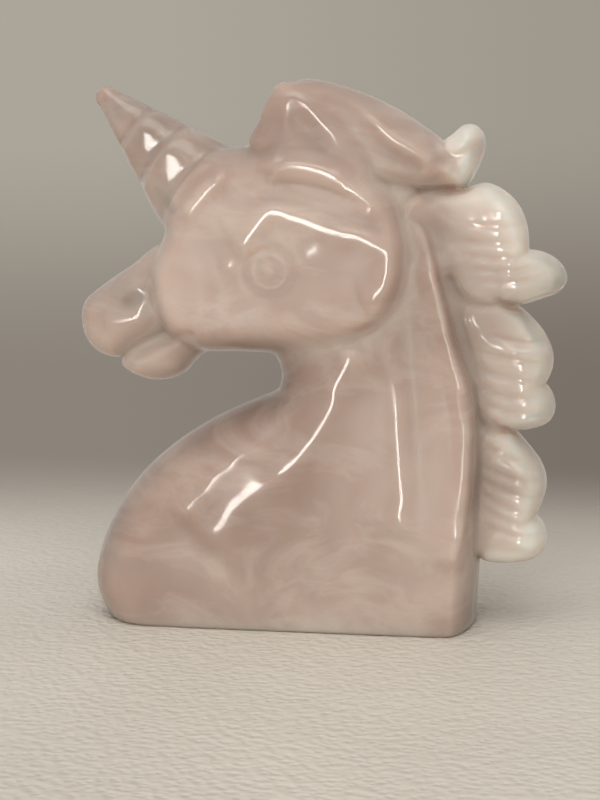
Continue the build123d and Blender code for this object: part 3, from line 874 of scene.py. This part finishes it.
def floor_material():
    """Pale, slightly patchy sheet with a pebbled grain."""
    material, nodes, links = new_material("pale_floor")
    out = nodes.new("ShaderNodeOutputMaterial")
    shader = node(nodes, "ShaderNodeBsdfPrincipled", {"Roughness": 0.6})
    place_of = nodes.new("ShaderNodeTexCoord").outputs["Object"]
    patches = noise(nodes, links, place_of, 14.0, 3.0)
    tint = colour_ramp(nodes, links, patches, ((0.3, (0.57, 0.535, 0.475)), (0.7, (0.65, 0.615, 0.55))))
    links.new(tint, shader.inputs["Base Color"])
    grain = node(nodes, "ShaderNodeTexVoronoi", {"Scale": 900.0}, feature="SMOOTH_F1")
    links.new(place_of, grain.inputs["Vector"])
    bump = node(nodes, "ShaderNodeBump", {"Strength": 0.8, "Distance": 0.0005})
    links.new(grain.outputs["Distance"], bump.inputs["Height"])
    links.new(bump.outputs["Normal"], shader.inputs["Normal"])
    split = nodes.new("ShaderNodeSeparateXYZ")
    links.new(place_of, split.inputs["Vector"])
    length = node(nodes, "ShaderNodeVectorMath", operation="LENGTH")
    links.new(place_of, length.inputs[0])
    behind = map_range(nodes, links, split.outputs["Y"], 0.02, 0.14, 0.0, 1.0)
    away = map_range(nodes, links, length.outputs["Value"], 0.17, 0.36, 0.0, 1.0)
    mix = nodes.new("ShaderNodeMixShader")
    links.new(combine(nodes, links, "MAXIMUM", behind, away), mix.inputs["Fac"])
    links.new(shader.outputs["BSDF"], mix.inputs[1])
    links.new(nodes.new("ShaderNodeBsdfTransparent").outputs["BSDF"], mix.inputs[2])
    links.new(mix.outputs["Shader"], out.inputs["Surface"])
    return material


floor.data.materials.append(floor_material())

# World: soft light, with a plain warm grey backdrop behind the figure, with painted light and shade: paler
# higher up and to one side, darker low down
world = bpy.data.worlds.new("studio")
bpy.context.scene.world = world
world.use_nodes = True
wn, wl = world.node_tree.nodes, world.node_tree.links
wn.clear()
world_out = wn.new("ShaderNodeOutputWorld")
sky = node(wn, "ShaderNodeBackground", {"Strength": 0.62, "Color": (1.0, 0.96, 0.91, 1)})
drop = node(wn, "ShaderNodeBackground", {"Strength": 1.0})
direction = wn.new("ShaderNodeSeparateXYZ")
wl.new(wn.new("ShaderNodeTexCoord").outputs["Generated"], direction.inputs["Vector"])
# Painted light and shade on the backdrop: darker low down and to the right, paler above and to the left
height = map_range(wn, wl, direction.outputs["Z"], -0.13, 0.0, 0.30, 1.0)
sideways = map_range(wn, wl, direction.outputs["X"], -0.27, 0.0, 0.0, 0.30)
backdrop_light_and_shade = combine(wn, wl, "SUBTRACT", height, sideways)
wl.new(
    colour_ramp(wn, wl, backdrop_light_and_shade, ((0.0, (0.195, 0.166, 0.140)), (1.0, (0.410, 0.380, 0.326)))),
    drop.inputs["Color"],
)
light_path = wn.new("ShaderNodeLightPath").outputs
seen = combine(wn, wl, "MAXIMUM", light_path["Is Camera Ray"], light_path["Is Transmission Ray"])
mix_world = wn.new("ShaderNodeMixShader")
wl.new(seen, mix_world.inputs["Fac"])
wl.new(sky.outputs["Background"], mix_world.inputs[1])
wl.new(drop.outputs["Background"], mix_world.inputs[2])
wl.new(mix_world.outputs["Shader"], world_out.inputs["Surface"])


def area_light(name, position, target, size, power):
    """A rectangular lamp that points at its target, in metres and watts."""
    light = bpy.data.lights.new(name, "AREA")
    light.shape = "RECTANGLE"
    light.size, light.size_y = size
    light.energy = power
    light.color = (1, 0.97, 0.93)
    holder = bpy.data.objects.new(name, light)
    holder.location = position
    holder.rotation_euler = (Vector(target) - Vector(position)).to_track_quat("-Z", "Y").to_euler()
    bpy.context.scene.collection.objects.link(holder)


area_light("window", (-0.10, -0.58, 0.08), (0, 0, 0.04), (0.11, 0.30), 1.5)
area_light("soft_top", (0.0, -0.30, 0.6), (0, 0, 0.03), (0.5, 0.5), 1.6)

# Camera
camera_data = bpy.data.cameras.new("camera")
camera_data.sensor_fit = "VERTICAL"
camera_data.sensor_height = 24.0
camera_data.lens = DISTANCE * camera_data.sensor_height / VIEW_HEIGHT
camera_data.clip_start = 0.01
camera = bpy.data.objects.new("camera", camera_data)
camera.location = CAMERA * MM
camera.rotation_euler = Vector(-TOWARDS_CAMERA).to_track_quat("-Z", "Y").to_euler()
bpy.context.scene.collection.objects.link(camera)
bpy.context.scene.camera = camera
bpy.context.scene.view_settings.view_transform = "Standard"
